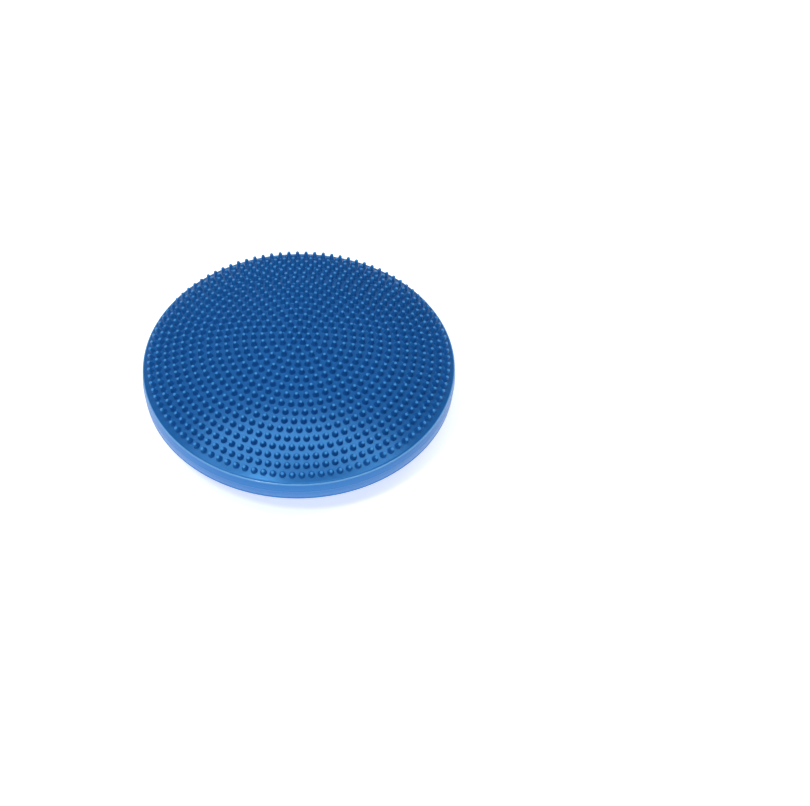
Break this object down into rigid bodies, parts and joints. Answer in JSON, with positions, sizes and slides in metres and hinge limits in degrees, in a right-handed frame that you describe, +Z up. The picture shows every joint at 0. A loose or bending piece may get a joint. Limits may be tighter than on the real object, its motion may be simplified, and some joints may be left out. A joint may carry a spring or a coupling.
{
  "type": "wobble cushion",
  "caption": "Round air-filled balance cushion: studded domed upper skin, smooth domed lower skin with a centre ring, creased rim and a needle valve in the rim.",
  "frame": {"origin": "centre of the underside, on the floor", "axes": "+Z up through the studded face, +Y towards the rim's needle valve"},
  "size_m": [0.33, 0.33, 0.1007],
  "materials": {
    "studded_pvc": "semi-gloss soft PVC, moulded studs",
    "smooth_pvc": "high-gloss soft PVC",
    "rim_pvc": "satin soft PVC",
    "valve_pvc": "satin soft PVC",
    "valve_rubber": "matt rubber"
  },
  "bodies": {
    "base": {"smooth_bottom_skin": "smooth_pvc", "base_centre_disc": "smooth_pvc"},
    "lower_rim": {"lower_rim_wall": "rim_pvc", "valve_seat": "valve_pvc", "valve_core": "valve_rubber"},
    "upper_rim": {"upper_rim_wall": "rim_pvc"},
    "top": {"studded_top_skin": "studded_pvc"}
  },
  "joints": [
    {"name": "roll", "type": "hinge", "parent": "base", "child": "lower_rim", "pos_m": [0, 0, 0.02], "axis": [1, 0, 0], "range_deg": [-5, 5], "stiffness_Nm_per_rad": 200, "deforming": ["smooth_bottom_skin"]},
    {"name": "pitch", "type": "hinge", "parent": "lower_rim", "child": "upper_rim", "pos_m": [0, 0, 0.02], "axis": [0, 1, 0], "range_deg": [-5, 5], "stiffness_Nm_per_rad": 200, "deforming": ["smooth_bottom_skin", "lower_rim_wall"]},
    {"name": "press", "type": "slide", "parent": "upper_rim", "child": "top", "axis": [0, 0, -1], "range_m": [0, 0.007], "stiffness_N_per_m": 28000, "deforming": ["upper_rim_wall"]}
  ]
}
